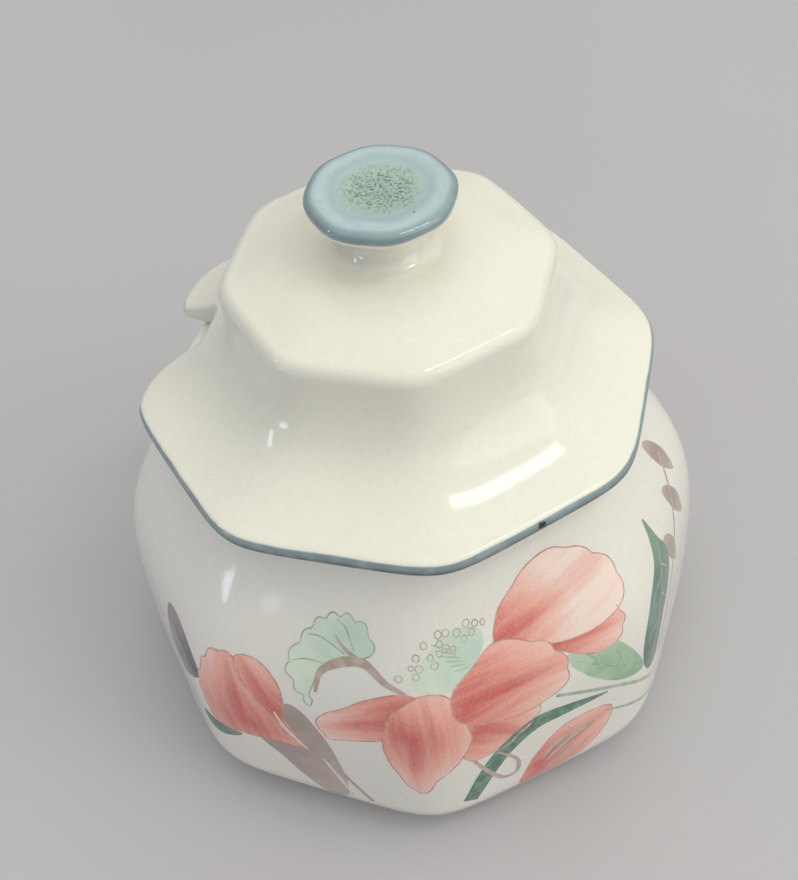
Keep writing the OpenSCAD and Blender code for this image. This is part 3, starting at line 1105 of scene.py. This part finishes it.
def draw_right_leaves(draw):
    draw.strokes("blade", DARK_LINE, 0.06, [
        ([(329, 31), (320, 32), (313, 32), (307, 28), (303, 22), (299, 13)], (0.4, 4.4, 3.0))])
    draw.shape("side_leaf", MID_LEAF, 0.04, (336, 34), 24, [
        (321, 47), (326, 47), (331, 46), (335, 40), (338, 31), (333, 32), (328, 36), (324, 41)],
        ((337, 33), 0.8, 9))
    draw.strokes("side_veins", LEAF_LINE, 0.055, [
        ([(323, 45), (330, 39), (337, 32)], (0.2, 0.3, 0.3)),
        ([(330, 45), (332, 41), (331, 38)], (0.2, 0.3, 0.2)),
        ([(325, 46), (327, 43), (326, 42)], (0.2, 0.3, 0.2))])
    draw.strokes("twigs", SAGE_LINE, 0.07, [
        ([(318, 38), (326, 34), (333, 30), (342, 22)], (0.8, 1.0, 0.8)),
        ([(329, 24), (335, 20), (343, 14)], (0.5, 0.8, 0.7))])
    draw.strokes("tendril", TAUPE_LINE, 0.065, [
        ([(300, 29), (303, 22), (306, 17), (309, 17), (309, 22), (305, 28)], (0.6, 1.0, 0.5))])


def draw_low_bud(draw):
    bud = draw.shape("low_bud", CORAL, 0.05, (314, 15), 24, [
        (330, 25), (325, 27), (319, 26), (314, 21), (311, 15), (310, 10), (317, 10), (324, 12), (329, 18)])
    draw.outline("low_bud_line", PETAL_LINE, [bud], 0.24, 0.065)
    draw.strokes("low_bud_veins", SAGE_LINE, 0.07, [
        ([(327, 23), (321, 20), (315, 15)], (0.5, 1.5, 0.3)),
        ([(322, 24), (317, 20), (314, 16)], (0.3, 0.9, 0.2)),
        ([(326, 17), (320, 15), (315, 12)], (0.3, 0.9, 0.2))])


def draw_tall_leaf(draw):
    draw.shape("tall_leaf", DARK_LEAF, 0.05, (342, 30), 34, [
        (351, 59), (353, 53), (356, 45), (353, 38), (348, 34), (344, 27), (340, 27), (338, 33), (339, 40),
        (343, 46), (348, 50), (350, 55)])
    draw.strokes("tall_veins", SAGE_LINE, 0.065, [
        ([(352, 52), (350, 45), (346, 38), (341, 30)], (0.2, 0.35, 0.25)),
        ([(351, 47), (353, 44), (353, 42)], FINE),
        ([(348, 42), (350, 38), (349, 37)], FINE),
        ([(349, 45), (345, 45), (343, 43)], FINE),
        ([(345, 37), (341, 38), (340, 36)], FINE)])


def draw_far_twig(draw):
    draw.strokes("far_twig", TAUPE_LINE, 0.05, [
        ([(347, 24), (355, 34), (363, 46), (370, 60)], (0.6, 0.7, 0.5))])
    for k, (a, z) in enumerate([(369, 60), (366, 50), (358, 44)]):
        draw.shape(f"far_leaf_{k}", TAUPE, 0.04, (a, z), 8, [
            (a - 3, z + 5), (a, z + 4), (a + 3, z - 1), (a + 3, z - 7), (a, z - 4), (a - 2, z)])


# ---- Stage, camera and light ----

def make_floor():
    n = Nodes("floor", 0.6)
    colour = n.blend(n.span(n.noise(3, 3), 0.3, 0.7), linear(184, 182, 184), linear(190, 188, 190))
    material = n.finish(colour)
    far = 3000
    corners = [(-far, -far, 0), (far, -far, 0), (far, far, 0), (-far, far, 0)]
    floor = new_piece("floor", corners, [(0, 1, 2, 3)], material)


def make_camera():
    """Close view from above the front, turned a little to the right and rolled."""
    azimuth, elevation, roll = (math.radians(a) for a in (23.78, 47.67, -5.99))
    target = Vector((3.15, -10.32, 69.44)) * MM
    distance = 265.5 * MM
    data = bpy.data.cameras.new("camera")
    data.sensor_fit = "AUTO"
    data.sensor_width = 36
    data.lens = 53.67
    data.clip_start = 0.01
    data.clip_end = 20
    camera = linked("camera", data)
    aim = (Matrix.Rotation(azimuth, 4, "Z") @ Matrix.Rotation(math.pi / 2 - elevation, 4, "X")
           @ Matrix.Rotation(roll, 4, "Z"))
    camera.matrix_world = Matrix.Translation(target) @ aim @ Matrix.Translation((0, 0, distance))
    bpy.context.scene.camera = camera


WARM = (1.0, 0.99, 0.95)
COOL = (0.76, 0.82, 1.0)
PALE_COOL = (0.9, 0.94, 1.0)
SKY_LOW = (0.15, 0.14, 0.185, 1)
SKY_HIGH = (1.0, 1.0, 0.94, 1)
UPRIGHT = (0, 0, 1)
# The way to the brightest part of the sky, a little to the right of overhead
SKY_TOP = (0.20, 0.05, 0.98)


def area_light(name, direction, distance, size, power, colour, long_way=(1, 0, 0), spread=180):
    """A light in that direction from the bowl, facing it, with its first side along long_way."""
    data = bpy.data.lights.new(name, "AREA")
    data.shape = "RECTANGLE"
    data.size, data.size_y = size
    data.energy = power
    data.spread = math.radians(spread)
    data.color = colour
    back = Vector(direction).normalized()
    across = back.cross(Vector(long_way)).normalized()
    along = across.cross(back)
    turn = Matrix((along, across, back)).transposed().to_4x4()
    linked(name, data).matrix_world = Matrix.Translation(Vector((0, 0, 0.06)) + back * distance) @ turn


def make_lights():
    """A lamp, a large fill, and three windows of which the lowest two only glint in the glaze."""
    area_light("key", (0.50, 0.0, 0.86), 1.4, (0.54, 0.15), 1.8, WARM, (0.63, 0.777, 0))
    area_light("right_fill", (0.9, -0.05, 0.40), 1.6, (1.3, 1.1), 5.5, WARM)
    area_light("side_window", (-0.85, -0.47, 0.30), 1.6, (0.5, 0.12), 1.2, COOL, UPRIGHT)
    area_light("low_window", (-0.72, -0.68, 0), 0.6, (0.09, 0.12), 0.006, COOL, UPRIGHT, 30)
    area_light("front_window", (-0.36, -0.93, 0.01), 0.6, (0.006, 0.03), 0.0003, PALE_COOL, UPRIGHT, 30)


def make_sky():
    """A soft sky, brightest and warmest round SKY_TOP and dim and cool away from it."""
    world = bpy.data.worlds.new("studio")
    world.use_nodes = True
    nodes, links = world.node_tree.nodes, world.node_tree.links
    height = nodes.new("ShaderNodeVectorMath")
    height.operation = "DOT_PRODUCT"
    links.new(nodes.new("ShaderNodeTexCoord").outputs["Generated"], height.inputs[0])
    height.inputs[1].default_value = SKY_TOP
    sky = nodes.new("ShaderNodeValToRGB")
    links.new(height.outputs["Value"], sky.inputs["Fac"])
    low, high = sky.color_ramp.elements
    low.position = 0.2
    low.color = SKY_LOW
    high.color = SKY_HIGH
    background = nodes["Background"]
    links.new(sky.outputs["Color"], background.inputs["Color"])
    background.inputs["Strength"].default_value = 1.32
    bpy.context.scene.world = world
    bpy.context.scene.view_settings.view_transform = "Standard"


# ---- The bowl, its prints and the stage ----

CORAL = petal_material("coral", (208, 107, 98), (240, 174, 157), (249, 228, 214))
MINT = leaf_material("mint", (196, 218, 202), (224, 236, 214))
MID_LEAF = leaf_material("green", (148, 182, 152), (192, 214, 184))
DARK_LEAF = leaf_material("dark_green", (76, 112, 102), (126, 158, 138))
GREY_LEAF = leaf_material("grey", (98, 92, 92), (146, 138, 136))
TAUPE = leaf_material("taupe", (170, 154, 144), (192, 178, 168))
LINE = line_material("outline", (182, 176, 162), (208, 202, 188))
PETAL_LINE = line_material("petal_line", (190, 146, 130), (220, 182, 166))
LEAF_LINE = line_material("leaf_line", (146, 170, 150), (184, 204, 182))
PALE_LINE = line_material("pale_line", (224, 216, 206), (234, 228, 216))
SHADE_LINE = line_material("shade_line", (48, 56, 52), (96, 96, 92))
TAUPE_LINE = line_material("taupe_line", (180, 162, 148), (200, 184, 170))
SAGE_LINE = line_material("sage_line", (164, 180, 158), (188, 200, 180))
DARK_LINE = line_material("dark_line", (84, 122, 108), (124, 156, 134))

make_bowl(bowl_material())
lid_glaze = lid_material(RIM_SPECK)
make_lid(lid_glaze)
make_collar(lid_glaze)
make_knob(knob_material(KNOB_SPECK))
for turn, side in ((0, "front"), (180, "back")):
    spray = Spray(turn, side)
    for draw_part in (draw_blossom, draw_heart, draw_stamens, draw_mint_leaf, draw_bud, draw_left_leaves,
                      draw_right_leaves, draw_low_bud, draw_tall_leaf, draw_far_twig):
        draw_part(spray)
make_floor()
make_camera()
make_lights()
make_sky()
